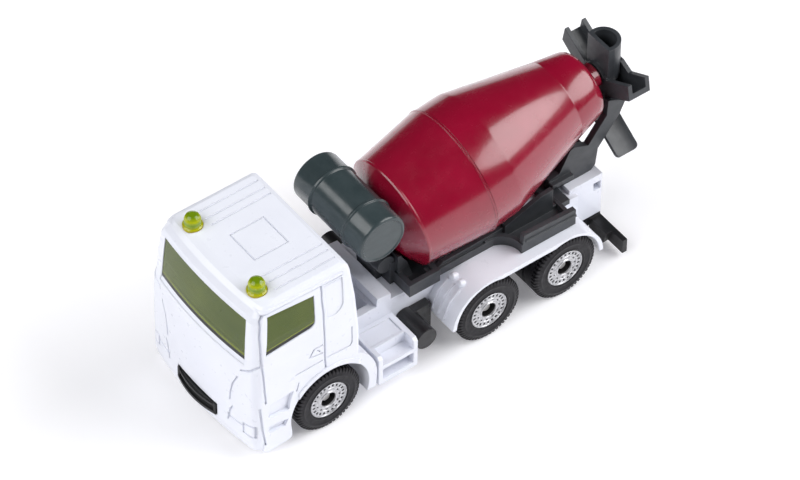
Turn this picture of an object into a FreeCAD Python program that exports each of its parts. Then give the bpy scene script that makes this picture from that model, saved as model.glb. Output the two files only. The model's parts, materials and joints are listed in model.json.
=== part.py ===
import FreeCAD, Part
import math
import os
from FreeCAD import Vector as V

# Pocket die-cast cement-mixer truck. Millimetres, +X forward, +Y to the truck's left, +Z up.
# The origin is on the ground, under the middle of the overall length.

# ---- driving dimensions ------------------------------------------------------------------
BODY_HALF_W = 13.6          # half width over the cab sides, step boxes and fender lips
AXLE_Z = 6.0
AXLE_R = 0.75
TYRE_R = 6.0
RIM_R = 3.4
WHEEL_FACE_Y = 13.45        # outer sidewall of every tyre
FRONT_TYRE_W = 4.4
REAR_TYRE_W = 6.8           # twin tyre
AXLES = {"front": 24.6, "middle": -6.25, "rear": -21.15}

CAB_ROOF_Z = 32.9
CAB_WALL = 0.9
ARCH_R = 7.4

DECK_Z = 12.4
TAIL_DECK_Z = 13.2
RAIL_HALF_W = 6.9
FLOOR_Z = 4.5               # underside of the casting, where the base plate sits
TAIL_X = -34.1

DRUM_TILT = 9.75            # degrees, rear end up
DRUM_FRONT = V(2.77, 0, 22.51)      # centre of the drum's front edge
DRUM_SEAM_S = 11.9
FRONT_JOURNAL_R = 1.3
REAR_JOURNAL_R = 1.2
RUN_CLEARANCE = 0.05

TANK_X = 11.0
TANK_Z = 29.1
TANK_R = 4.3
TANK_HALF_L = 8.7

HOPPER_X = -38.1
HOPPER_TOP_Z = 35.8
CHUTE_PIVOT_X = -38.0
CHUTE_SLOPE = 33.0
GAP = 0.05                  # clearance between pieces of one body that are pushed together

parts = {}


# ---- helpers -----------------------------------------------------------------------------
def box(x0, x1, y0, y1, z0, z1):
    return Part.makeBox(x1 - x0, y1 - y0, z1 - z0, V(x0, y0, z0))


def prism(points, plane, lo, hi):
    """Closed outline in the named plane, extruded along the third axis from lo to hi.
    A point is (a, b), or (a, b, "arc") for the middle point of an arc to the next one."""
    lift = {"xz": lambda a, b: V(a, lo, b), "xy": lambda a, b: V(a, b, lo),
            "yz": lambda a, b: V(lo, a, b)}[plane]
    along = {"xz": V(0, hi - lo, 0), "xy": V(0, 0, hi - lo), "yz": V(hi - lo, 0, 0)}[plane]
    closed = list(points) + [points[0]]
    edges = []
    i = 0
    while i < len(closed) - 1:
        start = lift(*closed[i][:2])
        if len(closed[i + 1]) == 3:
            edges.append(Part.Arc(start, lift(*closed[i + 1][:2]), lift(*closed[i + 2][:2])).toShape())
            i += 2
        else:
            edges.append(Part.LineSegment(start, lift(*closed[i + 1])).toShape())
            i += 1
    return Part.Face(Part.Wire(edges)).extrude(along)


def mirror(shape):
    return shape.mirror(V(0, 0, 0), V(0, 1, 0))


def both(shape):
    return [shape, mirror(shape)]


def fuse(shapes):
    return shapes[0].multiFuse(shapes[1:]).removeSplitter()


def cut(shape, tools):
    return shape.cut(Part.makeCompound(tools)) if tools else shape


def rod_y(x, z, r, y0, y1):
    return Part.makeCylinder(r, y1 - y0, V(x, y0, z), V(0, 1, 0))


def rod_z(x, y, r, z0, z1):
    return Part.makeCylinder(r, z1 - z0, V(x, y, z0), V(0, 0, 1))


def revolve(profile, base, axis):
    """Profile points (distance along the axis, radius), turned about the axis through base."""
    points = [V(r, 0, s) for s, r in profile]
    face = Part.Face(Part.makePolygon(points + [points[0]]))
    solid = face.revolve(V(0, 0, 0), V(0, 0, 1), 360)
    solid.Placement = FreeCAD.Placement(base, FreeCAD.Rotation(V(0, 0, 1), axis))
    return solid


def solid_of(shape):
    """The single solid of a fused shape."""
    assert len(shape.Solids) == 1, f"{len(shape.Solids)} solids"
    return shape.Solids[0]


def add(node, shape):
    parts[node] = shape


# ---- cab ---------------------------------------------------------------------------------
CAB_SECTIONS = [
    # z, rear x, side of the front x, front bow, half width, corner radius
    (3.4, 18.9, 38.6, 1.0, 13.5, 1.7),
    (5.0, 18.9, 38.9, 1.0, 13.6, 1.8),
    (13.0, 18.9, 38.9, 1.0, 13.6, 1.8),
    (18.0, 18.9, 38.8, 1.0, 13.6, 1.8),
    (21.0, 19.0, 38.7, 0.95, 13.5, 1.8),
    (21.9, 19.05, 38.35, 0.9, 13.4, 1.8),
    (26.3, 19.3, 38.05, 0.8, 13.1, 1.7),
    (30.3, 19.6, 37.75, 0.65, 12.5, 1.6),
    (31.2, 19.6, 37.3, 0.65, 12.25, 1.6),
    (32.0, 19.75, 36.6, 0.6, 12.05, 1.6),
    (32.6, 20.05, 35.8, 0.6, 11.8, 1.6),
    (CAB_ROOF_Z, 20.8, 34.6, 0.5, 11.1, 1.6),
]


def cab_outline(z, rear, front, bow, half, corner, inset):
    """Plan outline of the cab at one height, moved inwards by inset."""
    rear += inset
    front -= inset
    half -= inset
    corner = max(corner - inset, 0.4)
    back = 0.7
    k = 1 - math.sqrt(0.5)
    # right half of the outline, from the middle of the front to the middle of the back
    front_arc = [(front, corner - half), (front - corner * k, corner * k - half), (front - corner, -half)]
    back_arc = [(rear + back, -half), (rear + back * k, back * k - half), (rear, back - half)]
    flip = lambda points: [(x, -y) for x, y in reversed(points)]
    stretches = [front_arc, [front_arc[2], back_arc[0]], back_arc, [back_arc[2], (rear, half - back)],
                 flip(back_arc), flip([front_arc[2], back_arc[0]]), flip(front_arc),
                 [(front, half - corner), (front + bow, 0), (front, corner - half)]]
    edges = []
    for points in stretches:
        ends = [V(x, y, z) for x, y in points]
        edges.append(Part.Arc(*ends).toShape() if len(ends) == 3 else Part.LineSegment(*ends).toShape())
    return Part.Wire(edges)


def cab_block(inset, floor, drop):
    """Solid block of the cab's outside shape moved inwards; its roof is lowered by drop."""
    wires = []
    for z, rear, front, bow, half, corner in CAB_SECTIONS:
        level = z - drop if z > 28 else z
        wires.append(cab_outline(max(level, floor), rear, front, bow, half, corner, inset))
    return Part.makeLoft(wires, True, True)


SIDE_WINDOW = [(36.3, 23.8), (28.3, 24.45), (27.4, 24.8, "arc"), (27.05, 25.7), (26.75, 30.4), (35.3, 31.0)]
WINDSCREEN = [(-10.75, 22.1), (10.75, 22.1), (10.4, 30.4), (-10.4, 30.4)]


def stroke(points, width, plane, lo, hi):
    """Band of the given width along a line of points, as one prism for each stretch."""
    bands = []
    for (a0, b0), (a1, b1) in zip(points, points[1:]):
        length = math.hypot(a1 - a0, b1 - b0)
        ua, ub = (a1 - a0) / length, (b1 - b0) / length
        h = width / 2
        a0, b0, a1, b1 = a0 - ua * h * 0.6, b0 - ub * h * 0.6, a1 + ua * h * 0.6, b1 + ub * h * 0.6
        corners = [(a0 - ub * h, b0 + ua * h), (a0 + ub * h, b0 - ua * h),
                   (a1 + ub * h, b1 - ua * h), (a1 - ub * h, b1 + ua * h)]
        bands.append(prism(corners, plane, lo, hi))
    return bands


SHUT_LINES = [   # door edges, drip rail and the joint below the door, as (x, z)
    [(36.0, 31.6), (36.6, 30.8), (37.0, 28.0), (37.15, 22.7), (36.95, 18.1), (36.65, 13.6)],
    [(37.7, 12.9), (37.3, 7.6), (36.8, 4.2)],
    [(25.3, 31.3), (25.5, 28.9), (25.5, 24.7), (25.6, 16.5), (25.3, 12.9)],
    [(36.0, 31.6), (34.4, 31.6), (29.4, 31.6), (21.5, 31.3)],
]
FINE_SIDE_LINES = [   # handle, crease and side panel, as (x, z)
    [(28.45, 18.5), (27.6, 19.75), (26.0, 19.8)],
    [(28.45, 18.4), (26.0, 18.05)],
    [(26.9, 19.2), (26.5, 18.7)],
    [(31.1, 16.3), (26.1, 16.4)],
    [(25.2, 16.5), (20.9, 16.3), (20.5, 16.9), (20.5, 20.2)],
    [(30.5, 14.2), (30.9, 12.6)],
]
FRONT_LINES = [   # corner panels and bumper joint, as (y, z)
    [(9.75, 18.0), (8.7, 15.6), (8.25, 13.5), (8.1, 11.6)],
    [(8.7, 10.4), (8.2, 9.5), (7.6, 6.7)],
    [(10.4, 19.9), (12.4, 21.2), (13.6, 22.6)],
    [(7.6, 8.0), (8.2, 7.75), (11.0, 7.8)],
    [(11.0, 8.5), (11.0, 6.4), (13.1, 6.4), (13.1, 8.8), (11.0, 8.5)],
]
ROOF_RIB_Y = (6.5, 8.0, 9.8)


def side_relief():
    """Recessed panels of one side: behind the door and the two steps below it."""
    panel = prism([(24.9, 30.9), (24.9, 24.7), (23.7, 24.6), (22.3, 25.2, "arc"), (21.7, 26.6),
                   (21.4, 30.9)],
                  "xz", 8.0, 16.0)
    upper_step = prism([(36.0, 12.7), (31.5, 13.1), (32.2, 10.7), (32.3, 9.5), (36.1, 9.9)], "xz", 8.0,
                       16.0)
    lower_step = prism([(36.1, 7.9), (32.5, 7.4), (33.1, 6.2), (36.1, 6.5)], "xz", 8.0, 16.0)
    return [panel], [upper_step, lower_step]


def cab_grooves():
    """Everything that is cut into the cab's skin, as (tools, depth)."""
    deep = []
    fine = []
    for points in SHUT_LINES:
        deep += stroke(points, 0.32, "xz", 8.0, 16.0)
    for points in FINE_SIDE_LINES:
        fine += stroke(points, 0.24, "xz", 8.0, 16.0)
    for points in FRONT_LINES:
        deep += stroke(points, 0.3, "yz", 36.9, 42.0)
    panels, steps = side_relief()
    fine += panels
    roof = [box(20.9, 32.0, s * y - 0.12, s * y + 0.12, 31.0, 34.0) for y in ROOF_RIB_Y for s in (-1, 1)]
    roof += [box(24.6, 31.0, -3.25, 3.25, 31.0, 34.0).cut(box(24.8, 30.8, -3.05, 3.05, 30.0, 35.0))]
    sill = prism([(-10.9, 22.1), (10.9, 22.1), (10.9, 21.35), (-10.9, 21.35)], "yz", 36.0, 42.0)
    deep += [mirror(t) for t in deep]
    fine += [mirror(t) for t in fine]
    steps += [mirror(t) for t in steps]
    return [(deep, 0.3), (fine + roof + [sill], 0.16), (steps, 0.55)]


def scaled(points, grow):
    """Outline with each point moved away from the middle by about grow on both axes."""
    ca = sum(p[0] for p in points) / len(points)
    cb = sum(p[1] for p in points) / len(points)
    move = lambda v, c: v + grow * (1 if v > c else -1)
    return [(move(p[0], ca), move(p[1], cb), *p[2:]) for p in points]


def window_tools(grow):
    side = prism(scaled(SIDE_WINDOW, grow), "xz", 8.0, 16.0)
    front = prism(scaled(WINDSCREEN, grow), "yz", 34.5, 42.0)
    return both(side) + [front]


BEACON_X = 34.2
BEACON_Y = 8.2
BEACON_BASE_Z = 32.65
BEACON_H = 2.5


def make_cab():
    outside = cab_block(0, 0, 0)
    arch = lambda r, y0, y1: rod_y(AXLES["front"], AXLE_Z, r, y0, y1)
    # fender leg behind the front wheel and step corner in front of it
    leg = prism([(17.4, 3.7), (19.5, 3.7), (19.5, 13.4), (18.9, 13.4), (16.6, 10.6, "arc"), (15.7, 6.4),
                 (15.9, 3.7)], "xz", 8.6, BODY_HALF_W)
    step = prism([(31.8, 2.9), (32.6, 2.5), (36.2, 2.3), (37.2, 2.8), (37.2, 5), (31.8, 5)], "xz",
                 11.4, BODY_HALF_W)
    shell = fuse([outside] + both(leg) + both(step))
    inside = cab_block(CAB_WALL, -2.0, 0.7)
    tools = [inside]
    tools += both(arch(ARCH_R, 8.2, 15.0))
    tools += window_tools(0)
    tools += both(box(19.5, 31.8, 8.2, 15, -1, 6))
    # seat of each beacon and the hole for its post
    for side in (-1, 1):
        tools.append(rod_z(BEACON_X, side * BEACON_Y, 1.6 + GAP, BEACON_BASE_Z, 36))
        tools.append(rod_z(BEACON_X, side * BEACON_Y, 1.0, 28, 34))
    # rear wall is open below the deck, where the casting passes through
    tools.append(box(17.0, 20.2, -8.15, 8.15, 0, 16.1))
    # slot for the black bumper bar
    tools.append(box(37.0, 41.0, -5.1, 5.1, 5.3, 7.9))
    for grooves, depth in cab_grooves():
        core = cab_block(depth, 0, depth)
        tools += [groove.cut(core) for groove in grooves]
    shell = cut(shell, tools)
    # raised lip over each wheel arch and the drip rail above each door
    lip = arch(8.3, 8.2, 15.0).cut(arch(ARCH_R + 0.01, 8.0, 16.0)).common(box(10, 30.5, 8, 16, 10.5, 20))
    rail = fuse(stroke([(36.2, 32.0), (21.3, 31.7)], 0.45, "xz", 8.0, 16.0))
    raised = cab_block(-0.2, 0, 0).cut(cab_block(0.2, 0, 0.2))
    shell = fuse([shell] + both(lip.common(raised)) + both(rail.common(raised)))
    return max(shell.Solids, key=lambda s: s.Volume)


def make_glazing():
    """One clear moulding: the window panes, the band that joins them and the two beacons."""
    band_outer = cab_block(CAB_WALL + 0.15, 0, 1.0)
    band_inner = cab_block(CAB_WALL + 0.95, 0, 1.8)
    keep = box(23.5, 41, -15, 15, 21.6, 32.4)
    band = band_outer.cut(band_inner).common(keep)
    panes = cab_block(0.12, 0, 0.12).cut(cab_block(CAB_WALL + 0.3, 0, 1.0))
    panes = panes.common(Part.makeCompound(window_tools(-GAP)))
    pieces = [band] + list(panes.Solids)
    z0 = BEACON_BASE_Z
    for side in (-1, 1):
        profile = [(0, 0), (0, 1.6), (0.45, 1.6), (0.6, 1.35), (1.75, 1.32), (2.2, 1.1), (BEACON_H, 0.6),
                   (BEACON_H, 0)]
        pieces.append(revolve(profile, V(BEACON_X, side * BEACON_Y, z0), V(0, 0, 1)))
        pieces.append(rod_z(BEACON_X, side * BEACON_Y, 0.9, 30.6, z0 + 0.6))
    whole = fuse(pieces)
    return max(whole.Solids, key=lambda s: s.Volume)


def bumper_rib(z0, z1, reach):
    """Rib along the bumper bar, bowed in plan and standing out by reach."""
    outline = [(39.4, -4.8), (39.55 + reach, -4.8), (40.3 + reach, 0, "arc"), (39.55 + reach, 4.8),
               (39.4, 4.8)]
    return prism(outline, "xy", z0, z1)


def make_bumper_bar():
    """Black bar that fills the slot at the foot of the cab's front, with two ribs along it."""
    outline = [(38.6, -4.7), (39.55, -4.7), (40.3, 0, "arc"), (39.55, 4.7), (38.6, 4.7), (39.2, 0, "arc")]
    bar = prism(outline, "xy", 5.6, 7.6)
    web = box(37.4, 39.6, -4.5, 4.5, 5.8, 6.5)
    ends = both(box(38.8, 40.0, 4.4, 4.9, 5.4, 7.75))
    return solid_of(fuse([bar, web, bumper_rib(5.5, 6.0, 0.5), bumper_rib(6.9, 7.3, 0.3)] + ends))


# ---- casting under the cab and bed -----------------------------------------------------------
FENDER_SKIN = 0.6


def fender_outline(r, drop):
    """Side outline of the fender's outer (drop 0) or inner surface over both rear wheels."""
    mid = AXLES["middle"]
    rear = AXLES["rear"]
    top = 12.95 - drop
    k = math.sqrt(0.5)
    return [(mid + r, 6.0), (mid + r * k, 6.0 + (top - 6.0) * k, "arc"), (mid, top),
            (rear, top), (rear - r * k, 6.0 + (top - 6.0) * k, "arc"), (rear - r, 6.0)]


def make_fender():
    """Left fender: curved skin with a lip that hangs a little lower than the skin."""
    outer = prism(fender_outline(7.3, 0), "xz", RAIL_HALF_W - 0.5, BODY_HALF_W)
    hollow = prism([(x, z, *a) if z > 6 else (x, z - 1, *a) for x, z,
                    *a in fender_outline(6.7, FENDER_SKIN)],
                   "xz", RAIL_HALF_W - 1, BODY_HALF_W - 0.3)
    opening = prism([(x, z, *a) if z > 6 else (x, z - 1, *a) for x, z, *a in fender_outline(6.55, 0.85)],
                    "xz", RAIL_HALF_W - 1, BODY_HALF_W + 1)
    return outer.cut(Part.makeCompound([hollow, opening]))


def make_fender_nibs():
    """Left fender's front: two nibs on its shoulder and three ribs below them."""
    bead = [(-0.7, 0), (-0.5, 0.5), (0, 0.75), (0.7, 0.55), (0.9, 0)]
    nibs = [revolve(bead, V(-2.9, y, 12.1), V(1, 0, 0.4)) for y in (8.7, 10.6)]
    rib = [(0.6, 7.0), (1.35, 7.0), (0.2, 10.2), (-1.9, 11.9), (-2.4, 11.3), (-0.6, 9.6)]
    ribs = [prism(rib, "xz", y, y + 0.35) for y in (8.0, 9.5, 11.0)]
    return nibs + ribs


def make_step_box():
    """Left step box behind the cab: end plates, flat top, two treads and the space between."""
    x0, x1 = 7.9, 15.35
    y0, y1 = RAIL_HALF_W - 0.5, BODY_HALF_W
    top = 9.3
    body = prism([(y0, 3.3), (y1, 3.3), (y1, 8.8), (y1 - 0.5, top), (y0, top)], "yz", x0, x1)
    upper = box(x0 + 0.8, x1 - 0.8, 11.3, y1 + 1, 7.3, top + 1)
    lower = box(x0 + 0.8, x1 - 0.8, 10.2, y1 + 1, 4.3, 6.5)
    under = box(x0 + 0.8, x1 - 0.8, y0, 9.5, 2, 8.4)
    panel = box(x0 + 1.0, x1 - 0.4, 7.6, 10.8, top - 0.15, top + 1)
    return body.cut(Part.makeCompound([upper, lower, under, panel]))


def axle_cap(x):
    """Pair of ribs above an axle, each with a half-round notch that the axle turns in."""
    ribs = [box(x - 1.6, x + 1.6, s - 1.0, s + 1.0, AXLE_Z + 0.1, 9.2) for s in (-3.6, 3.6)]
    notch = rod_y(x, AXLE_Z, AXLE_R + RUN_CLEARANCE, -6, 6)
    return [rib.cut(notch) for rib in ribs]


def make_chassis():
    solids = []
    # inverted channel from the cab to the tail
    channel = box(TAIL_X + 0.0, 17.9, -RAIL_HALF_W, RAIL_HALF_W, FLOOR_Z, DECK_Z)
    channel = channel.cut(box(TAIL_X + 1.0, 16.9, -RAIL_HALF_W + 1, RAIL_HALF_W - 1, 0, DECK_Z - 1))
    # pocket behind the cab
    channel = channel.cut(box(11.6, 16.9, -5.6, 5.6, 8.2, 20))
    floor = box(10.6, 17.9, -6.4, 6.4, 7.4, 8.2)
    wall = prism([(8.0, DECK_Z - 1), (10.9, DECK_Z - 1), (10.7, 14.0), (8.1, 13.7)], "xz",
                 -RAIL_HALF_W, RAIL_HALF_W)
    pocket_front = box(10.6, 11.6, -6.4, 6.4, 7.4, DECK_Z)
    wheel_wells = []
    for name in ("middle", "rear"):
        wheel_wells += both(rod_y(AXLES[name], AXLE_Z, TYRE_R + 0.5, 6.35, 20))
    cab_floor = box(17.0, 35.5, -8.0, 8.0, 8.4, 9.4)
    nose = [box(31.9, 35.5, -8.0, 8.0, FLOOR_Z, 9.0), box(17.0, 18.0, -8.0, 8.0, FLOOR_Z, 9.0)]
    spine = both(box(17.0, 33.0, 5.2, 6.4, FLOOR_Z, 9.0))
    solids += [channel, floor, wall, pocket_front, cab_floor] + nose + spine
    # raised tail deck under the drum's rear legs
    solids.append(box(TAIL_X, -27.5, -5.9, 5.9, DECK_Z - 1, TAIL_DECK_Z))
    solids += both(box(TAIL_X, -28.0, 4.9, 5.9, FLOOR_Z, DECK_Z - 0.5))
    solids += both(make_fender()) + both(make_step_box())
    for detail in make_fender_nibs():
        solids += both(detail)
    for x in AXLES.values():
        solids += axle_cap(x)
    posts = [rod_z(x, 0, 2.0, FLOOR_Z, 9.0) for x in RIVET_X]
    links = [box(x, x + 1, -6.4, 6.4, FLOOR_Z + 0.0, DECK_Z - 0.5) for x in (0.5, -13.5, -28.4)]
    body = fuse(solids + posts + links)
    tools = list(wheel_wells)
    tools += [rod_z(x, 0, RIVET_R + 0.02, 0, 8.0) for x in RIVET_X]
    # windows in the tail's sides, and tail width
    tools += both(box(TAIL_X + 0.3, TAIL_X + 1.7, 4.5, 8, 10.0, 11.7))
    tools += both(box(TAIL_X - 1, -28.5, 5.9, 9, 0, 20))
    for name in ("front", "middle", "rear"):
        tools.append(rod_y(AXLES[name], AXLE_Z, AXLE_R + RUN_CLEARANCE, -9, 9))
    tools.append(box(24.6 - 1, 24.6 + 1, -6.6, 6.6, 0, AXLE_Z))
    for name in ("middle", "rear"):
        tools.append(box(AXLES[name] - 0.8, AXLES[name] + 0.8, -9, 9, 0, AXLE_Z))
    # locating pins of the drum frame enter the deck here
    tools += [rod_z(x, y, 1.0 + GAP, DECK_Z - 3, 20) for x, y in FRAME_PINS]
    body = cut(body, tools)
    return max(body.Solids, key=lambda s: s.Volume)


# ---- black base plate ---------------------------------------------------------------------------
RIVET_X = (14.2, -31.2)
RIVET_R = 1.0
PLATE_Z = 3.2
PLATE_HALF_W = 5.7
FUEL_X = 5.6
FUEL_Z = 6.9
FUEL_R = 1.9


def make_base_plate():
    plate = box(-33.9, 35.4, -PLATE_HALF_W, PLATE_HALF_W, PLATE_Z, FLOOR_Z - GAP)
    pieces = [plate]
    # saddles that carry the axles from below
    for x in AXLES.values():
        for s in (-3.6, 3.6):
            pieces.append(box(x - 1.6, x + 1.6, s - 1.0, s + 1.0, FLOOR_Z - 0.5, AXLE_Z))
    # fuel tank and its bracket on each side
    for tank in (rod_y(FUEL_X, FUEL_Z, FUEL_R, RAIL_HALF_W + 0.1, 12.9),
                 box(FUEL_X - 1.4, FUEL_X + 1.4, 5.0, 9.0, PLATE_Z, FLOOR_Z - GAP),
                 box(FUEL_X - 1.4, FUEL_X + 1.4, RAIL_HALF_W + 0.1, 9.0, PLATE_Z, FUEL_Z - 0.6),
                 box(1.5, FUEL_X, RAIL_HALF_W + 0.1, 8.5, PLATE_Z, 8.6),
                 box(1.5, FUEL_X, 5.0, 8.5, PLATE_Z, FLOOR_Z - GAP)):
        pieces += both(tank)
    # underrun bar below the tail
    pieces.append(box(-34.2, -33.3, -12.6, 12.6, 0.95, 3.7))
    pieces.append(box(-34.2, -31.5, -5.7, 5.7, 2.4, FLOOR_Z - GAP))
    pieces += both(prism([(5.5, 0.95), (9.0, 0.95), (9.8, 3.7), (5.5, 3.7)], "yz", -34.2, -32.2))
    body = fuse(pieces)
    tools = [rod_y(x, AXLE_Z, AXLE_R + RUN_CLEARANCE, -6, 6) for x in AXLES.values()]
    tools += [rod_z(x, 0, RIVET_R + 0.05, 0, 8) for x in RIVET_X]
    tools += [rod_z(x, 0, 1.9, 0, PLATE_Z + 0.5) for x in RIVET_X]
    # ribs of a plain grid on the underside are left as shallow panels
    for x0, x1 in ((-18.6, -9.0), (-3.6, 1.0), (18.0, 22.2), (27.0, 33.6)):
        tools += both(box(x0, x1, 0.8, 4.9, 0, PLATE_Z + 0.4))
    return solid_of(cut(body, tools))


def make_rivets():
    rivets = []
    for x in RIVET_X:
        head = Part.makeCone(1.1, 1.8, 0.45, V(x, 0, PLATE_Z - 0.0), V(0, 0, 1))
        rivets.append(solid_of(fuse([head, rod_z(x, 0, RIVET_R, PLATE_Z + 0.2, 7.9)])))
    return Part.makeCompound(rivets)


# ---- wheels ----------------------------------------------------------------------------------------
def make_axle(x):
    head_y = WHEEL_FACE_Y - 1.3
    shaft = rod_y(x, AXLE_Z, AXLE_R, -head_y - 0.2, head_y + 0.2)
    ends = []
    for side in (-1, 1):
        ends.append(Part.makeCone(0.95, 0.7, 0.35, V(x, side * head_y, AXLE_Z), V(0, side, 0)))
    return solid_of(fuse([shaft] + ends))


def make_tyre(x, side, width):
    """Ring tyre; the wide ones have a groove between the two treads."""
    bead = RIM_R + GAP
    half = [(0.1, bead), (0.1, 4.4), (0, 4.8), (0.15, 5.3), (0.45, TYRE_R)]
    if width > 5:
        half += [(width / 2 - 0.3, TYRE_R), (width / 2 - 0.25, 4.9)]
    profile = half + [(width - s, r) for s, r in reversed(half)]
    return revolve(profile, V(x, side * WHEEL_FACE_Y, AXLE_Z), V(0, -side, 0))


def make_rim(x, side, width):
    """Wheel disc with a hub in the middle; its barrel carries the tyre."""
    bore = AXLE_R + 0.01
    profile = [(0.35, 3.05), (0.35, RIM_R), (width, RIM_R), (width, 2.9), (1.6, 2.9), (1.6, 1.7),
               (width + 0.25, 1.7), (width + 0.25, bore), (1.35, bore), (1.35, 1.15), (0.25, 1.15),
               (0.25, 1.55), (0.5, 1.7), (0.5, 2.85)]
    return revolve(profile, V(x, side * WHEEL_FACE_Y, AXLE_Z), V(0, -side, 0))


# ---- drum ---------------------------------------------------------------------------------------------
TILT = math.radians(DRUM_TILT)
DRUM_AXIS = V(-math.cos(TILT), 0, math.sin(TILT))


def on_axis(s):
    return DRUM_FRONT + DRUM_AXIS * s


def drum_rod(r, s0, s1):
    return Part.makeCylinder(r, s1 - s0, on_axis(s0), DRUM_AXIS)


def drum_envelope(grow):
    """Space swept by the turning drum, widened by grow."""
    profile = [(-2.9 - grow, 0), (-2.9 - grow, 4.6 + grow), (-2.3 - grow, 6.1 + grow),
               (-0.15 - grow, 9.3 + grow),
               (0.2, 9.58 + grow), (DRUM_SEAM_S, 11.1 + grow), (17.0, 10.9 + grow), (32.0, 6.95 + grow),
               (37.1, 5.7 + grow), (37.76 + grow, 5.2 + grow), (37.76 + grow, 2.4 + grow),
               (39.6 + grow, 2.4), (39.6, 0)]
    return revolve(profile, DRUM_FRONT, DRUM_AXIS)


def make_drum_front():
    """Front shell: journal, shallow front cone and the widening barrel up to the seam."""
    outer = [(-6.4, 0), (-6.4, FRONT_JOURNAL_R), (-2.9, FRONT_JOURNAL_R), (-2.9, 4.6), (-2.3, 6.1),
             (-0.15, 9.3), (0.2, 9.58), (DRUM_SEAM_S, 11.1)]
    inner = [(DRUM_SEAM_S, 10.2), (0.7, 8.7), (-1.4, 5.6), (-1.9, 0)]
    return revolve(outer + inner, DRUM_FRONT, DRUM_AXIS)


def make_drum_rear():
    """Rear shell: short cylinder, long cone, rounded closed end and the rear journal."""
    outer = [(DRUM_SEAM_S + 0.02, 11.02), (16.8, 10.9), (17.3, 10.78), (32.0, 6.93), (36.2, 5.98),
             (37.1, 5.65), (37.6, 5.1), (37.76, 4.4), (37.76, 2.3), (39.6, 2.1), (39.6, REAR_JOURNAL_R),
             (41.3, REAR_JOURNAL_R), (41.3, 0)]
    inner = [(36.8, 0), (36.8, 4.6), (32.0, 6.0), (16.8, 9.95), (DRUM_SEAM_S + 0.02, 10.12)]
    return revolve(outer + inner, DRUM_FRONT, DRUM_AXIS)


# ---- grey frame that carries the drum ------------------------------------------------------------------
FRAME_Z = DECK_Z + 0.05
FRAME_PINS = ((3.6, 3.6), (3.6, -3.6), (-16.0, 6.0), (-16.0, -6.0))
LEG_IN = 3.3
LEG_OUT = 4.4
FENDER_TOP = 12.95


def make_tray():
    """Left side tray beside the drum with its outer and inner walls."""
    z = FENDER_TOP + 0.05
    floor = prism([(-9.4, 7.8), (-12.5, 8.8, "arc"), (-13.5, 11.8), (-24.1, 11.8), (-24.1, 6.9),
                   (-9.4, 6.9)],
                  "xy", z, z + 0.7)
    wall = prism([(-13.5, z), (-23.2, z), (-24.1, z + 1.2), (-24.1, 16.2), (-13.9, 16.7)], "xz", 10.9, 11.8)
    ridge = prism([(-14.2, 15.2), (-24.1, 14.8), (-24.1, 15.2), (-14.2, 15.6)], "xz", 11.7, 12.0)
    inner = prism([(-13.0, z), (-22.6, z), (-22.6, 18.3), (-20.4, 18.2), (-13.3, 15.9)], "xz", 7.1, 7.9)
    back = box(-24.1, -23.4, 7.1, 11.8, z, z + 1.6)
    flare = prism([(-9.4, 7.8), (-12.5, 8.8, "arc"), (-13.5, 11.8), (-14.2, 11.8), (-13.1, 8.4, "arc"),
                   (-9.4, 7.1)],
                  "xy", z, 14.9)
    return [floor, wall, ridge, inner, back, flare]


def make_leg():
    """Left rear leg: a flat plate that leans back up to the discharge end."""
    outline = [(-24.6, 13.3), (-33.0, 13.3), (-33.8, 14.1), (-34.2, 17.5), (-38.3, 22.8), (-39.4, 25.3),
               (-35.9, 27.0), (-35.7, 23.9), (-32.2, 19.3), (-29.4, 20.6), (-28.6, 20.3), (-26.6, 16.4),
               (-24.6, 15.9)]
    return prism(outline, "xz", LEG_IN, LEG_OUT)


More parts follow.
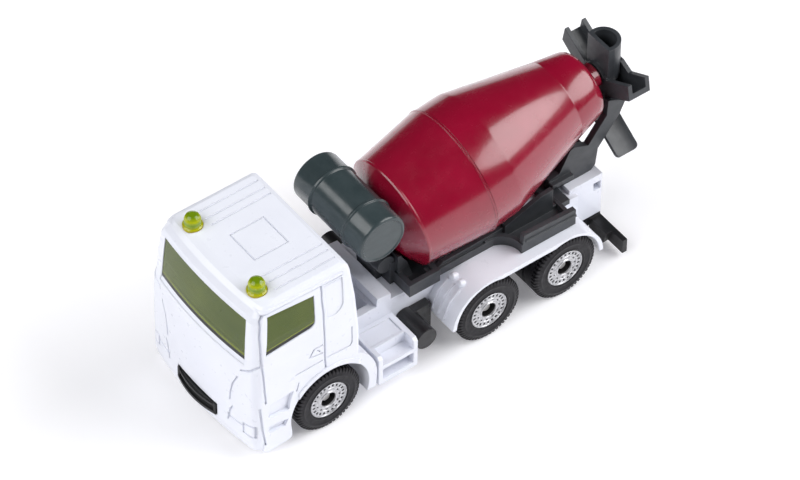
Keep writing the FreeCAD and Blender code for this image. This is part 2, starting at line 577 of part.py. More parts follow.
def make_drum_frame():
    low = FENDER_TOP + GAP
    rail = box(-24.1, 1.4, 6.3, 7.9, low, 14.5)
    rail_top = prism([(-22.6, 14.4), (-0.5, 14.4), (-1.5, 15.1), (-22.6, 15.6)], "xz", 6.7, 7.5)
    front = box(-0.3, 5.6, -8.4, 8.4, FRAME_Z, 14.9).cut(box(0.6, 4.7, -7.5, 7.5, FRAME_Z + 0.7, 16))
    crossbars = [box(-26.0, -23.2, -6.3, 6.3, FRAME_Z, 14.0), box(-26.0, -23.2, -7.9, 7.9, low, 14.0)]
    pieces = [front] + crossbars + both(rail) + both(rail_top)
    for tray_piece in make_tray():
        pieces += both(tray_piece)
    # pedestal: side cheeks, centre column up to the front bearing, and the pump barrel beside it
    cheek = prism([(2.4, FRAME_Z), (5.2, FRAME_Z), (5.5, 18.7), (4.3, 18.7)], "xz", 3.4, 5.2)
    column = prism([(4.0, FRAME_Z), (7.7, FRAME_Z), (8.3, 20.0), (8.3, 23.4), (6.3, 23.8), (5.3, 17.5)],
                   "xz", -2.3, 2.3)
    bridge = box(4.6, 6.4, -4.4, 4.4, FRAME_Z, 17.0)
    barrel = rod_y(7.1, 17.2, 1.6, -4.3, 4.3)
    saddle = prism([(7.0, 20.6), (12.0, 23.4), (13.0, 25.6), (8.5, 26.1), (6.6, 23.4)], "xz", -2.3, 2.3)
    saddle = saddle.cut(rod_y(TANK_X, TANK_Z, TANK_R + GAP, -9, 9))
    pieces += both(cheek) + [column, bridge, barrel, saddle]
    pieces += both(make_leg())
    base = box(-32.6, -24.6, -LEG_OUT, LEG_OUT, TAIL_DECK_Z + 0.05, 14.0)
    tab = box(-28.8, -24.6, 4.0, 5.3, 14.9, 15.6)
    brace = box(-33.6, -32.4, -LEG_IN - 0.2, LEG_IN + 0.2, 14.0, 16.5)
    pieces += [base, brace] + both(tab)
    pieces += [rod_z(x, y, 1.0, DECK_Z - 2.5, FRAME_Z + 0.8) for x, y in FRAME_PINS]
    body = fuse(pieces)
    # front bearing for the drum's journal
    body = body.cut(drum_rod(FRONT_JOURNAL_R + RUN_CLEARANCE, -7.5, -3.0))
    # the legs end just under the collector, which is pushed down over them
    body = body.cut(collector_block(GAP))
    body = body.cut(drum_envelope(0.35))
    return solid_of(body)


def make_water_tank():
    rounding = 0.5
    y1 = TANK_HALF_L
    half = [(0, 0), (0, TANK_R), (2.9 + 1.0, TANK_R), (4.0, TANK_R + 0.28), (4.4, TANK_R + 0.28),
            (4.55, TANK_R), (y1 - rounding, TANK_R), (y1 - 0.15, TANK_R - 0.15), (y1, TANK_R - rounding),
            (y1, 0)]
    left = revolve(half, V(TANK_X, 0, TANK_Z), V(0, 1, 0))
    return solid_of(fuse([left, mirror(left)]))


# ---- discharge end ---------------------------------------------------------------------------------------
TROUGH_X0, TROUGH_X1 = -40.8, -36.7
V_OUTER = [(0, 24.1), (8.4, 29.7), (7.9, 32.5), (2.6, 29.5)]


def collector_block(grow):
    """Outside of the V trough without its channel."""
    g = grow
    outline = [(0, 24.1 - g), (8.4, 29.7 - g), (7.9, 32.5), (2.6, 29.5), (-2.6, 29.5), (-7.9, 32.5),
               (-8.4, 29.7 - g)]
    return prism(outline, "yz", TROUGH_X0 - g, TROUGH_X1 + g)


def make_hopper():
    """Filling tube of D section standing in a V trough whose two arms rise to the sides."""
    wall = 0.75
    trough = collector_block(0)
    channel = prism([(0, 25.3), (8.6, 31.0), (9.5, 36.0), (-9.5, 36.0), (-8.6, 31.0)], "yz",
                    TROUGH_X0 + wall, TROUGH_X1 - wall)
    rear_wall = prism([(0, 26), (7.0, 29.6), (6.6, 31.4), (4.6, 29.9), (1.8, 31.2), (-1.8, 31.2),
                       (-4.6, 29.9),
                       (-6.6, 31.4), (-7.0, 29.6)], "yz", TROUGH_X0, TROUGH_X0 + wall)
    trough = trough.cut(channel)
    r = 2.7
    flat = -37.0
    d_outer = [(flat, -2.6), (HOPPER_X, -r), (HOPPER_X - r, 0, "arc"), (HOPPER_X, r), (flat, 2.6)]
    ri = r - 0.65
    d_inner = [(flat - 0.65, -ri + 0.1), (HOPPER_X, -ri), (HOPPER_X - ri, 0, "arc"), (HOPPER_X, ri),
               (flat - 0.65, ri - 0.1)]
    tube = prism(d_outer, "xy", 26.5, HOPPER_TOP_Z)
    bore = prism(d_inner, "xy", 25.6, HOPPER_TOP_Z + 1)
    front_web = prism([(-2.6, 26.0), (2.6, 26.0), (2.6, 30.0), (-2.6, 30.0)], "yz", -37.45, TROUGH_X1)
    boss = rod_z(CHUTE_PIVOT_X, 0, 1.7, 22.4, 25.0)
    bearing = drum_rod(2.0, 40.0, 40.9)
    body = fuse([trough, rear_wall, tube, front_web, boss, bearing])
    tools = [bore, drum_rod(REAR_JOURNAL_R + RUN_CLEARANCE, 39.0, 42.0)]
    tools.append(rod_z(CHUTE_PIVOT_X, 0, CHUTE_PIN_R + 0.01, 20, 24.6))
    # side ports at the foot of the tube, open into both arms
    tools.append(box(-40.2, -37.6, -4, 4, 26.4, 28.6))
    body = cut(body, tools)
    return max(body.Solids, key=lambda s: s.Volume)


CHUTE_PIN_R = 0.7
CHUTE_TOP_Z = 21.2
CHUTE_LEN = 8.15
CHUTE_HALF_W = 2.1


def make_chute():
    """Swivelling chute: a thin dished leaf that slopes down from its pivot hub towards +Y."""
    hub = rod_z(CHUTE_PIVOT_X, 0, 1.5, CHUTE_TOP_Z - 1.4, CHUTE_TOP_Z + 1.1)
    w = CHUTE_HALF_W
    leaf = prism([(-w, -1.2), (0, -2.4, "arc"), (w, -1.2), (w, CHUTE_LEN - 0.8),
                  (w - 0.25, CHUTE_LEN - 0.2, "arc"),
                  (w - 0.9, CHUTE_LEN), (0.9 - w, CHUTE_LEN), (0.25 - w, CHUTE_LEN - 0.2, "arc"),
                  (-w, CHUTE_LEN - 0.8)], "xy", 0, 1.5)
    dish_r = 7.0
    dish = Part.makeCylinder(dish_r, 20, V(0, -5, dish_r + 0.7), V(0, 1, 0))
    belly = Part.makeCylinder(dish_r + 0.7, 20, V(0, -5, dish_r + 0.7), V(0, 1, 0))
    leaf = leaf.common(belly).cut(dish)
    place = FreeCAD.Placement(V(CHUTE_PIVOT_X, 0, CHUTE_TOP_Z - 0.9),
                              FreeCAD.Rotation(V(1, 0, 0), -CHUTE_SLOPE))
    leaf.Placement = place
    body = fuse([hub, leaf])
    body = body.cut(rod_z(CHUTE_PIVOT_X, 0, CHUTE_PIN_R + RUN_CLEARANCE, 15, 25))
    body = body.cut(rod_z(CHUTE_PIVOT_X, 0, 1.4, 15, CHUTE_TOP_Z - 1.4))
    return max(body.Solids, key=lambda s: s.Volume)


def make_chute_pin():
    pin = rod_z(CHUTE_PIVOT_X, 0, CHUTE_PIN_R, CHUTE_TOP_Z - 2.0, 24.5)
    head = rod_z(CHUTE_PIVOT_X, 0, 1.2, CHUTE_TOP_Z - 2.0, CHUTE_TOP_Z - 1.5)
    return solid_of(fuse([pin, head]))


# ---- assembly ----------------------------------------------------------------------------------------
def build():
    add("cab_shell", make_cab())
    add("cab_glazing", make_glazing())
    add("bumper_bar", make_bumper_bar())
    add("chassis_frame", make_chassis())
    add("base_plate", make_base_plate())
    add("base_rivets", make_rivets())
    add("drum_frame", make_drum_frame())
    add("water_tank", make_water_tank())
    add("drum_front_shell", make_drum_front())
    add("drum_rear_shell", make_drum_rear())
    add("hopper_collector", make_hopper())
    add("discharge_chute", make_chute())
    add("chute_pin", make_chute_pin())
    for name, x in AXLES.items():
        width = FRONT_TYRE_W if name == "front" else REAR_TYRE_W
        add(f"axle_{name}", make_axle(x))
        for label, side in (("left", 1), ("right", -1)):
            add(f"tyre_{name}_{label}", make_tyre(x, side, width))
            add(f"rim_{name}_{label}", make_rim(x, side, width))


build()
os.makedirs("parts", exist_ok=True)
for node, shape in parts.items():
    shape.exportStep(f"parts/{node}.step")
    bounds = shape.BoundBox
    print(f"{node:22s} solids {len(shape.Solids)} valid {shape.isValid()} volume {shape.Volume:9.2f} "
          f"x {bounds.XMin:7.2f} {bounds.XMax:7.2f} y {bounds.YMin:7.2f} {bounds.YMax:7.2f} "
          f"z {bounds.ZMin:6.2f} {bounds.ZMax:6.2f}")
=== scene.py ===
import json
import math

import bmesh
import bpy
from mathutils import Matrix, Vector


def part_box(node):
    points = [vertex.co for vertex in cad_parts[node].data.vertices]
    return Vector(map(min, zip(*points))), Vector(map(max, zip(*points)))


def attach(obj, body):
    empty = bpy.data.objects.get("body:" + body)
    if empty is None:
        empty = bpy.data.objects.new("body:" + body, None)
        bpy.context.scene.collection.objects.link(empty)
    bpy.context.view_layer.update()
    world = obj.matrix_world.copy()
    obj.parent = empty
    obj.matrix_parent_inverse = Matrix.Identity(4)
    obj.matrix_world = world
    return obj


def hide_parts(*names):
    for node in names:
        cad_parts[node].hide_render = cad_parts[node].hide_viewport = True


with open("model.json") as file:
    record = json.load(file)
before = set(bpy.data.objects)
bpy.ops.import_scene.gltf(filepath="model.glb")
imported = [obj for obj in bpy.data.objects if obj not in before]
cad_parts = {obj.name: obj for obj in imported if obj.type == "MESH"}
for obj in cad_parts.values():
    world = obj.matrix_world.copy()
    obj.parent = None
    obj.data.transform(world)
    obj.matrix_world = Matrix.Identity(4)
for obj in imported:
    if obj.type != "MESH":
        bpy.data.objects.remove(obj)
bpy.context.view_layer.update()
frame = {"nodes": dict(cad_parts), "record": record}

MM = 0.001
TAU = 2 * math.pi
BEACON_FOOT = 0.0327            # height of the beacons' feet, in metres
BEACON_HEIGHT = 0.0024
SIDE_WINDOW_SLOPE = 0.081       # fall of the side window's lower edge, forwards
SIDE_WINDOW_FRONT = 0.0368      # the side windows lie behind this X
PANE_EDGE_PAINTED_LIGHT = [                  # windscreen height, side window height, painted colour below: a painted glow streak, then painted shade for the dark gap
    (0.0234, 0.0277, (0.24, 0.29, 0.020)),
    (0.02285, 0.0274, (0.006, 0.008, 0.003)),
]
PRINT_START = 0.00050           # depths below the wheel face between which the silver print fades in
PRINT_FULL = 0.00042
WHEEL_FACE = 0.01345            # distance of the wheels' outer faces from the middle, in metres
WHEELS = [(axle, side) for axle in ("front", "middle", "rear") for side in ("left", "right")]


# ---- node helpers ------------------------------------------------------------------------
class Nodes:
    """Short forms for building one material's node tree."""

    def __init__(self, name):
        self.material = bpy.data.materials.new(name)
        self.material.use_nodes = True
        self.tree = self.material.node_tree
        self.shader = self.tree.nodes["Principled BSDF"]
        self.place = self.add("ShaderNodeTexCoord").outputs["Object"]

    def add(self, kind, **settings):
        node = self.tree.nodes.new(kind)
        for key, value in settings.items():
            setattr(node, key, value)
        return node

    def link(self, source, target):
        self.tree.links.new(source, target)

    def noise(self, scale, detail=3.0, rough=0.55, stretch=None):
        place = self.place
        if stretch:
            mapping = self.add("ShaderNodeMapping")
            mapping.inputs["Scale"].default_value = stretch
            self.link(place, mapping.inputs["Vector"])
            place = mapping.outputs["Vector"]
        node = self.add("ShaderNodeTexNoise")
        node.inputs["Scale"].default_value = scale
        node.inputs["Detail"].default_value = detail
        node.inputs["Roughness"].default_value = rough
        self.link(place, node.inputs["Vector"])
        return node.outputs["Fac"]

    def ramp(self, value, stops):
        """Colour ramp over value; stops are (position, colour or grey)."""
        node = self.add("ShaderNodeValToRGB")
        while len(node.color_ramp.elements) < len(stops):
            node.color_ramp.elements.new(0.5)
        for element, (position, colour) in zip(node.color_ramp.elements, stops):
            element.position = position
            rgb = colour if isinstance(colour, tuple) else (colour, colour, colour)
            element.color = (*rgb, 1.0)
        self.link(value, node.inputs["Fac"])
        return node.outputs["Color"]

    def mix(self, first, second, amount):
        """Colour of first blended with second; amount is a socket or a number."""
        node = self.add("ShaderNodeMix", data_type="RGBA")
        for value, socket in ((amount, node.inputs[0]), (first, node.inputs[6]), (second, node.inputs[7])):
            if isinstance(value, bpy.types.NodeSocket):
                self.link(value, socket)
            else:
                socket.default_value = value if isinstance(value, float) else (*value, 1.0)
        return node.outputs[2]

    def bump(self, height, strength, distance, normal):
        node = self.add("ShaderNodeBump")
        node.inputs["Strength"].default_value = strength
        node.inputs["Distance"].default_value = distance
        self.link(height, node.inputs["Height"])
        self.link(normal, node.inputs["Normal"])
        return node.outputs["Normal"]

    def soft_edges(self, radius):
        node = self.add("ShaderNodeBevel", samples=6)
        node.inputs["Radius"].default_value = radius
        return node.outputs["Normal"]

    def span(self, value, low, high):
        """Value mapped from low...high to 0...1."""
        node = self.add("ShaderNodeMapRange")
        self.link(value, node.inputs["Value"])
        node.inputs["From Min"].default_value = low
        node.inputs["From Max"].default_value = high
        return node.outputs["Result"]

    def math(self, operation, first, second):
        """Result of a math node; each operand is a socket or a number."""
        node = self.add("ShaderNodeMath", operation=operation)
        for value, socket in zip((first, second), node.inputs):
            if isinstance(value, bpy.types.NodeSocket):
                self.link(value, socket)
            else:
                socket.default_value = value
        return node.outputs[0]

    def finish(self, color, roughness, normal, **fixed):
        self.link(color, self.shader.inputs["Base Color"])
        self.link(roughness, self.shader.inputs["Roughness"])
        self.link(normal, self.shader.inputs["Normal"])
        for key, value in fixed.items():
            self.shader.inputs[key.replace("_", " ")].default_value = value
        return self.material


# ---- materials -----------------------------------------------------------------------------
def white_enamel():
    """Sprayed and baked enamel on a zinc casting: cool white, slight orange peel."""
    n = Nodes("white_enamel")
    tone = n.ramp(n.noise(160), [(0.3, (0.785, 0.805, 0.89)), (0.7, (0.815, 0.835, 0.915))])
    specks = n.ramp(n.noise(2600, 2), [(0.74, 0.0), (0.79, 0.35)])
    color = n.mix(tone, (0.62, 0.64, 0.67), specks)
    rough = n.ramp(n.noise(900), [(0.3, 0.27), (0.75, 0.33)])
    peel = n.bump(n.noise(1500, 2), 0.05, 0.00005, n.soft_edges(0.00022))
    return n.finish(color, rough, peel, Coat_Weight=0.35, Coat_Roughness=0.12, IOR=1.5)


def moulded(name, dark, light, rough_low, rough_high):
    """Injection-moulded plastic with flow marks, fine grain and softened edges."""
    n = Nodes(name)
    flow = n.noise(220, 4, 0.6, (1.0, 1.0, 2.4))
    tone = n.ramp(flow, [(0.3, dark), (0.72, light)])
    dust = n.ramp(n.noise(3800, 2), [(0.68, 0.0), (0.78, 0.35)])
    color = n.mix(tone, tuple(min(1.0, c * 1.8 + 0.02) for c in light), dust)
    rough = n.ramp(n.noise(700), [(0.3, rough_low), (0.75, rough_high)])
    grain = n.bump(n.noise(5200, 2), 0.10, 0.00004, n.soft_edges(0.00014))
    return n.finish(color, rough, grain)


def crimson_gloss():
    n = Nodes("crimson_gloss")
    tone = n.ramp(n.noise(130, 4), [(0.3, (0.228, 0.0012, 0.018)), (0.72, (0.280, 0.0022, 0.025))])
    scuffs = n.ramp(n.noise(1500, 4, 0.6, (0.35, 1.0, 1.0)), [(0.66, 0.0), (0.8, 0.3)])
    color = n.mix(tone, (0.36, 0.012, 0.045), scuffs)
    rough = n.ramp(n.noise(420), [(0.3, 0.20), (0.75, 0.31)])
    normal = n.bump(n.noise(800, 2), 0.05, 0.00008, n.soft_edges(0.0002))
    return n.finish(color, rough, normal, Coat_Weight=0.7, Coat_Roughness=0.12, IOR=1.5)


def clear_lime():
    """Tinted clear moulding: olive panes with the shade of the dark cab behind them painted in, lime roof
    beacons with a painted glow and highlight.
    """
    n = Nodes("clear_lime")
    separate = n.add("ShaderNodeSeparateXYZ")
    n.link(n.place, separate.inputs["Vector"])
    x, z = separate.outputs["X"], separate.outputs["Z"]
    in_beacon = n.span(z, BEACON_FOOT - 0.0004, BEACON_FOOT + 0.0002)
    swirl = n.noise(140)
    # pane colour: the lime tint darkened to olive, painted shade of the dark cab behind the glass
    pane = n.ramp(swirl, [(0.3, (0.085, 0.130, 0.002)), (0.7, (0.130, 0.175, 0.006))])
    # beacons: green moulding with a painted yellow glow at the foot and a painted highlight band near the
    # top
    beacon_glow_and_highlight = n.ramp(n.span(z, BEACON_FOOT, BEACON_FOOT + BEACON_HEIGHT),
                    [(0.05, (0.86, 0.70, 0.008)), (0.25, (0.60, 0.66, 0.008)), (0.5, (0.30, 0.52, 0.010)),
                     (0.8, (0.72, 0.78, 0.020)), (1.0, (0.24, 0.40, 0.008))])
    # along the lower edge of each pane: a painted glow streak, then painted shade for the gap under the
    # moulding
    slanted = n.math("ADD", z, n.math("MULTIPLY", x, SIDE_WINDOW_SLOPE))
    on_side = n.math("LESS_THAN", x, SIDE_WINDOW_FRONT)
    for screen_z, side_z, painted_edge_light in PANE_EDGE_PAINTED_LIGHT:
        edge = n.math("MULTIPLY", n.math("LESS_THAN", slanted, side_z), on_side)
        edge = n.math("MAXIMUM", n.math("LESS_THAN", z, screen_z), edge)
        pane = n.mix(pane, painted_edge_light, edge)
    color = n.mix(pane, beacon_glow_and_highlight, in_beacon)
    rough = n.ramp(n.noise(900), [(0.3, 0.04), (0.75, 0.10)])
    normal = n.bump(n.noise(1500, 2), 0.06, 0.00005, n.soft_edges(0.0001))
    return n.finish(color, rough, normal, Transmission_Weight=0.42, IOR=1.45)


def tyre_rubber():
    n = Nodes("tyre_rubber")
    tone = n.ramp(n.noise(900, 4), [(0.3, (0.007, 0.0065, 0.008)), (0.75, (0.018, 0.0165, 0.021))])
    dust = n.ramp(n.noise(4200, 2), [(0.66, 0.0), (0.8, 0.4)])
    color = n.mix(tone, (0.09, 0.085, 0.095), dust)
    rough = n.ramp(n.noise(1200), [(0.3, 0.42), (0.75, 0.6)])
    normal = n.bump(n.noise(6000, 3), 0.25, 0.00005, n.soft_edges(0.00006))
    return n.finish(color, rough, normal, Specular_IOR_Level=0.28)


def silver_coat():
    """Black moulding with silver printed on its outer face only: recesses and holes stay dark."""
    n = Nodes("silver_coat")
    separate = n.add("ShaderNodeSeparateXYZ")
    n.link(n.place, separate.inputs["Vector"])
    outward = n.math("ABSOLUTE", separate.outputs["Y"], 0.0)
    printed = n.span(outward, WHEEL_FACE - PRINT_START, WHEEL_FACE - PRINT_FULL)
    tone = n.ramp(n.noise(2400, 3), [(0.3, (0.46, 0.46, 0.48)), (0.72, (0.68, 0.68, 0.70))])
    wear = n.ramp(n.noise(3600, 3), [(0.64, 0.0), (0.70, 0.9)])
    silver = n.mix(tone, (0.05, 0.05, 0.055), wear)
    color = n.mix((0.012, 0.011, 0.012), silver, printed)
    n.link(n.math("MULTIPLY", printed, 0.7), n.shader.inputs["Metallic"])
    rough = n.ramp(n.noise(2500), [(0.3, 0.28), (0.75, 0.45)])
    normal = n.bump(n.noise(5000, 2), 0.15, 0.00004, n.soft_edges(0.00006))
    return n.finish(color, rough, normal)


def drawn_steel():
    n = Nodes("drawn_steel")
    tone = n.ramp(n.noise(2400, 3), [(0.3, (0.36, 0.35, 0.34)), (0.72, (0.52, 0.51, 0.50))])
    rough = n.ramp(n.noise(3000), [(0.3, 0.28), (0.75, 0.5)])
    normal = n.bump(n.noise(4000, 2, 0.5, (1.0, 0.1, 1.0)), 0.2, 0.00003, n.soft_edges(0.00008))
    return n.finish(tone, rough, normal, Metallic=1.0)


MATERIALS = {
    "white_paint": white_enamel(),
    "clear_lime": clear_lime(),
    "black_plastic": moulded("black_plastic", (0.005, 0.005, 0.006), (0.011, 0.011, 0.013), 0.36, 0.55),
    "slate_plastic": moulded("slate_plastic", (0.028, 0.031, 0.036), (0.044, 0.048, 0.055), 0.32, 0.48),
    "tank_plastic": moulded("tank_plastic", (0.030, 0.044, 0.048), (0.046, 0.062, 0.067), 0.16, 0.28),
    "steel": drawn_steel(),
    "tyre_rubber": tyre_rubber(),
    "silver_plastic": silver_coat(),
    "crimson_plastic": crimson_gloss(),
}


def dress_cad():
    """Every carried-over CAD node takes the material of its slot in the record."""
    for part in frame["record"]["subparts"]:
        mesh = frame["nodes"][part["node"]].data
        mesh.materials.clear()
        mesh.materials.append(MATERIALS[part["material_slot"]])


# ---- mesh helpers ----------------------------------------------------------------------------
def new_piece(name, bm, slot, body, place, smooth_angle):
    """Bmesh (in millimetres) as a finished piece in the row frame, riding on its body."""
    bmesh.ops.recalc_face_normals(bm, faces=bm.faces)
    mesh = bpy.data.meshes.new(name)
    bm.to_mesh(mesh)
    bm.free()
    mesh.transform(Matrix.Scale(MM, 4) @ place)
    piece = bpy.data.objects.new(name, mesh)
    bpy.context.scene.collection.objects.link(piece)
    mesh.materials.append(MATERIALS[slot])
    for face in mesh.polygons:
        face.use_smooth = True
    mesh.set_sharp_from_angle(angle=math.radians(smooth_angle))
    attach(piece, body)
    return piece


def lathe(rings, segments):
    """Closed turned shape about +Z. A ring is (height, radius) or (height, radius at angle number i)."""
    bm = bmesh.new()
    loops = []
    for height, radius in rings:
        if not callable(radius) and radius == 0:
            loops.append([bm.verts.new((0, 0, height))])
            continue
        ring = []
        for i in range(segments):
            a = TAU * i / segments
            size = radius(i) if callable(radius) else radius
            ring.append(bm.verts.new((size * math.cos(a), size * math.sin(a), height)))
        loops.append(ring)
    closing = [] if len(loops[0]) == 1 else [loops[0]]
    for low, high in zip(loops, loops[1:] + closing):
        for i in range(segments):
            j = (i + 1) % segments
            corners = [low[i % len(low)], low[j % len(low)], high[j % len(high)], high[i % len(high)]]
            unique = list(dict.fromkeys(corners))
            if len(unique) > 2:
                bm.faces.new(unique)
    return bm


def turned_place(base, axis):
    """Transform that takes +Z to axis and the origin to base (millimetres)."""
    turn = Vector((0, 0, 1)).rotation_difference(Vector(axis)).to_matrix().to_4x4()
    return Matrix.Translation(Vector(base)) @ turn


# ---- wheels ---------------------------------------------------------------------------------------
BEAD_RADIUS = 3.46
TWIN_WIDTH = 5.0                # a wider tyre is a twin one
TREAD_BLOCKS = 52
BLOCK_STEPS = 6
NOTCH_STEPS = 2


def wheel_place(axle, side):
    """Transform of a wheel whose outer face looks along +Z at height 0, and the body it rides on."""
    low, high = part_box(f"tyre_{axle}_{side}")
    sign = 1 if side == "left" else -1
    center = (low + high) / 2 / MM
    face = (high.y if sign > 0 else low.y) / MM
    width = (high.y - low.y) / MM
    return turned_place((center.x, face, center.z), (0, sign, 0)), width, (high.z - low.z) / MM / 2


def make_tyre(axle, side):
    """Tyre with notched shoulders and a raised bead; the twin ones have a centre groove."""
    place, width, r = wheel_place(axle, side)
    bead = BEAD_RADIUS

    def notched(radius, depth):
        return lambda i: radius - (depth if i % BLOCK_STEPS < NOTCH_STEPS else 0.0)

    face = [(-0.45, bead), (-0.12, bead), (-0.02, bead + 0.12), (-0.02, bead + 0.3), (-0.10, bead + 0.42),
            (-0.10, 4.4), (-0.06, 4.62), (0.0, 4.78), (-0.03, 4.98), (-0.12, 5.12)]
    shoulder = [(-0.14, notched(5.3, 0.14)), (-0.22, notched(5.72, 0.34)), (-0.36, notched(r - 0.07, 0.42)),
                (-0.55, notched(r, 0.42)), (-1.15, notched(r, 0.36)), (-1.25, r - 0.02)]
    half = face + shoulder
    if width > TWIN_WIDTH:
        inner = [(-width / 2 + 0.42, r - 0.02), (-width / 2 + 0.36, r - 0.12), (-width / 2 + 0.3, 5.0)]
    else:
        inner = [(-width / 2 + 0.2, r - 0.02), (-width / 2 + 0.15, r - 0.3), (-width / 2 + 0.08, r - 0.32)]
    half += inner
    other = [(-width - height, radius) for height, radius in reversed(half)]
    bm = lathe(half + other, TREAD_BLOCKS * BLOCK_STEPS)
    node = f"tyre_{axle}_{side}"
    tyre = new_piece(f"visual_{node}", bm, "tyre_rubber", f"wheelset_{axle}", place, 28)
    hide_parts(node)


RIM_SEGMENTS = 132
HOLE_INSET = 0.05
HOLE_DEPTH = 1.05
DISC_FLOOR = -0.4


def make_rim(axle, side):
    """Silver wheel: two rings of holes in the disc, a raised hub ring and a deep centre."""
    place, width, _ = wheel_place(axle, side)
    rings = [(-0.55, 3.42), (-0.22, 3.42), (-0.14, 3.34), (-0.14, 3.22), (-0.3, 3.16), (-0.3, 3.02),
             (-0.3, 2.56), (-0.3, 2.42), (-0.22, 2.34), (-0.22, 2.24), (-0.34, 2.18), (-0.36, 1.96),
             (-0.36, 1.72), (-0.3, 1.66), (-0.2, 1.58), (-0.2, 1.44), (-0.28, 1.36), (-0.5, 1.32),
             (-1.6, 1.27), (-2.3, 1.2), (-2.4, 0.78), (-width - 0.2, 0.78), (-width - 0.2, 1.7),
             (-1.7, 1.75), (-1.7, 2.9), (-width, 2.95), (-width, 3.42)]
    bm = lathe(rings, RIM_SEGMENTS)
    bm.faces.ensure_lookup_table()
    holes = []
    for face in bm.faces:
        middle = face.calc_center_median()
        angle = math.atan2(middle.y, middle.x) % TAU
        r = math.hypot(middle.x, middle.y)
        cell = int(angle / TAU * RIM_SEGMENTS)
        outer_hole = 2.58 < r < 3.0 and middle.z > DISC_FLOOR and cell % 6 in (1, 2, 3)
        inner_hole = 1.96 < r < 2.17 and middle.z > DISC_FLOOR and cell % 12 in (4, 5, 6, 7)
        if outer_hole or inner_hole:
            holes.append(face)
    bmesh.ops.inset_region(bm, faces=holes, thickness=HOLE_INSET, depth=0.0, use_even_offset=True)
    extruded = bmesh.ops.extrude_face_region(bm, geom=holes)
    moved = [v for v in extruded["geom"] if isinstance(v, bmesh.types.BMVert)]
    bmesh.ops.translate(bm, vec=(0, 0, -HOLE_DEPTH), verts=moved)
    bmesh.ops.delete(bm, geom=holes, context="FACES_ONLY")
    node = f"rim_{axle}_{side}"
    rim = new_piece(f"visual_{node}", bm, "silver_plastic", f"wheelset_{axle}", place, 30)
    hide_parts(node)


# ---- drum and tank --------------------------------------------------------------------------------
DRUM_TILT = math.radians(9.75)
DRUM_FRONT = (2.77, 0.0, 22.51)
DRUM_AXIS = (-math.cos(DRUM_TILT), 0.0, math.sin(DRUM_TILT))
SEAM = 11.9
TURNED_SEGMENTS = 240
TANK_MIDDLE = (11.0, 0.0, 29.1)
TANK_SEGMENTS = 160


def make_drum():
    """Front and rear shell of the mixing drum, each a thin-walled turned moulding with a fine seam lip."""
    place = turned_place(DRUM_FRONT, DRUM_AXIS)
    front = [(-6.4, 0), (-6.4, 1.3), (-2.9, 1.3), (-2.9, 4.6), (-2.3, 6.1), (-0.15, 9.3), (-0.1, 9.5),
             (0.12, 9.62), (0.3, 9.62), (0.38, 9.58), (SEAM - 0.32, 11.06), (SEAM - 0.28, 11.14),
             (SEAM - 0.02, 11.15), (SEAM, 11.0), (SEAM, 10.2), (0.7, 8.7), (-1.4, 5.6), (-1.9, 0)]
    rear = [(SEAM + 0.02, 10.12), (SEAM + 0.02, 10.92), (SEAM + 0.12, 11.02), (16.6, 10.93), (17.0, 10.86),
            (17.4, 10.75), (31.8, 6.99), (31.9, 6.9), (32.05, 6.86), (32.2, 6.88), (36.1, 6.0), (36.8, 5.8),
            (37.3, 5.45), (37.62, 5.0), (37.76, 4.4), (37.76, 2.3), (39.6, 2.1), (39.6, 1.2), (41.3, 1.2),
            (41.3, 0), (36.8, 0), (36.8, 4.6), (32.0, 6.0), (16.8, 9.95)]
    for name, profile, angle in (("drum_front_shell", front, 25), ("drum_rear_shell", rear, 30)):
        bm = lathe(profile, TURNED_SEGMENTS)
        piece = new_piece(f"visual_{name}", bm, "crimson_plastic", "drum", place, angle)
        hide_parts(name)


def make_water_tank():
    """Grey tank behind the cab roof, with two raised bands and domed rims."""
    place = turned_place(TANK_MIDDLE, (0.0, 1.0, 0.0))
    half = [(8.55, 0), (8.55, 3.55), (8.62, 3.65), (8.7, 3.75), (8.68, 3.95), (8.58, 4.12), (8.42, 4.24),
            (8.2, 4.3), (4.62, 4.3), (4.5, 4.36), (4.42, 4.5), (4.34, 4.57), (4.1, 4.57), (4.0, 4.52),
            (3.9, 4.36), (3.8, 4.3)]
    profile = half + [(-height, radius) for height, radius in reversed(half)]
    bm = lathe(profile, TANK_SEGMENTS)
    piece = new_piece("visual_water_tank", bm, "tank_plastic", "truck_body", place, 30)
    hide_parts("water_tank")


# ---- camera, light, floor -------------------------------------------------------------------------
CAMERA_AZIMUTH = 142.57
CAMERA_ELEVATION = 47.3
CAMERA_ROLL = 0.64
CAMERA_DISTANCE = 0.88913
CAMERA_AIM = Vector((-0.00351, -0.00609, 0.00699))
CAMERA_LENS = 255.96


def view_direction(azimuth, elevation):
    a = math.radians(azimuth)
    e = math.radians(elevation)
    return Vector((math.sin(a) * math.cos(e), -math.cos(a) * math.cos(e), math.sin(e)))


def make_camera():
    data = bpy.data.cameras.new("camera")
    camera = bpy.data.objects.new("camera", data)
    bpy.context.scene.collection.objects.link(camera)
    back = view_direction(CAMERA_AZIMUTH, CAMERA_ELEVATION)
    right = Vector((0, 0, 1)).cross(back).normalized()
    upright = back.cross(right)
    turn = Matrix((right, upright, back)).transposed() @ Matrix.Rotation(math.radians(CAMERA_ROLL), 3, "Z")
    camera.matrix_world = Matrix.Translation(CAMERA_AIM + back * CAMERA_DISTANCE) @ turn.to_4x4()
    data.sensor_width = 36.0
    data.lens = CAMERA_LENS
    data.clip_start = 0.01
    data.clip_end = 10.0
    bpy.context.scene.camera = camera


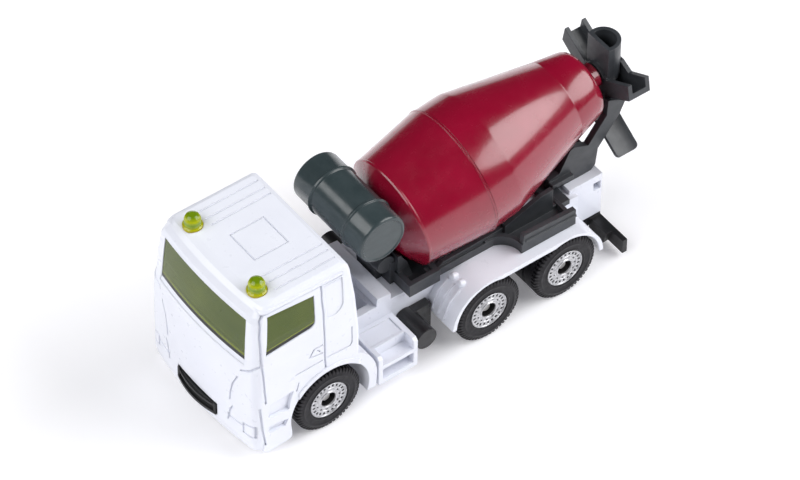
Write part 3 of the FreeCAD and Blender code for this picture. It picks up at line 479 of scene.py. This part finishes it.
LIGHT_DISTANCE = 0.7
FLOOR_REACH = 3.0


def area_light(name, azimuth, elevation, width, height, radiance):
    """Elliptical soft box in the given direction from the object, with the given angular size (degrees)."""
    data = bpy.data.lights.new(name, "AREA")
    data.shape = "ELLIPSE"
    data.size = 2 * LIGHT_DISTANCE * math.tan(math.radians(width / 2))
    data.size_y = 2 * LIGHT_DISTANCE * math.tan(math.radians(height / 2))
    area = math.pi / 4 * data.size * data.size_y
    data.energy = radiance * math.pi * area
    light = bpy.data.objects.new(name, data)
    bpy.context.scene.collection.objects.link(light)
    toward = view_direction(azimuth, elevation)
    light.location = toward * LIGHT_DISTANCE
    light.rotation_euler = toward.to_track_quat("Z", "Y").to_euler()


def make_studio():
    floor_bm = bmesh.new()
    bmesh.ops.create_grid(floor_bm, x_segments=1, y_segments=1, size=FLOOR_REACH)
    mesh = bpy.data.meshes.new("floor")
    floor_bm.to_mesh(mesh)
    floor_bm.free()
    floor = bpy.data.objects.new("floor", mesh)
    bpy.context.scene.collection.objects.link(floor)
    material = bpy.data.materials.new("floor_paper")
    material.use_nodes = True
    shader = material.node_tree.nodes["Principled BSDF"]
    shader.inputs["Base Color"].default_value = (0.93, 0.93, 0.95, 1.0)
    shader.inputs["Roughness"].default_value = 0.8
    shader.inputs["Emission Color"].default_value = (0.96, 0.955, 1.0, 1.0)
    shader.inputs["Emission Strength"].default_value = 0.2
    mesh.materials.append(material)
    world = bpy.data.worlds.new("world")
    bpy.context.scene.world = world
    world.use_nodes = True
    world.node_tree.nodes["Background"].inputs["Color"].default_value = (0.95, 0.96, 1.0, 1.0)
    world.node_tree.nodes["Background"].inputs["Strength"].default_value = 0.035
    bpy.context.scene.view_settings.view_transform = "Standard"
    area_light("side_box", 234, 38, 58, 44, 4.9)
    area_light("front_box", 85, 47, 72, 38, 3.8)


# ---- assembly ---------------------------------------------------------------------------------------
dress_cad()
for wheel in WHEELS:
    make_tyre(*wheel)
    make_rim(*wheel)
make_drum()
make_water_tank()
make_camera()
make_studio()
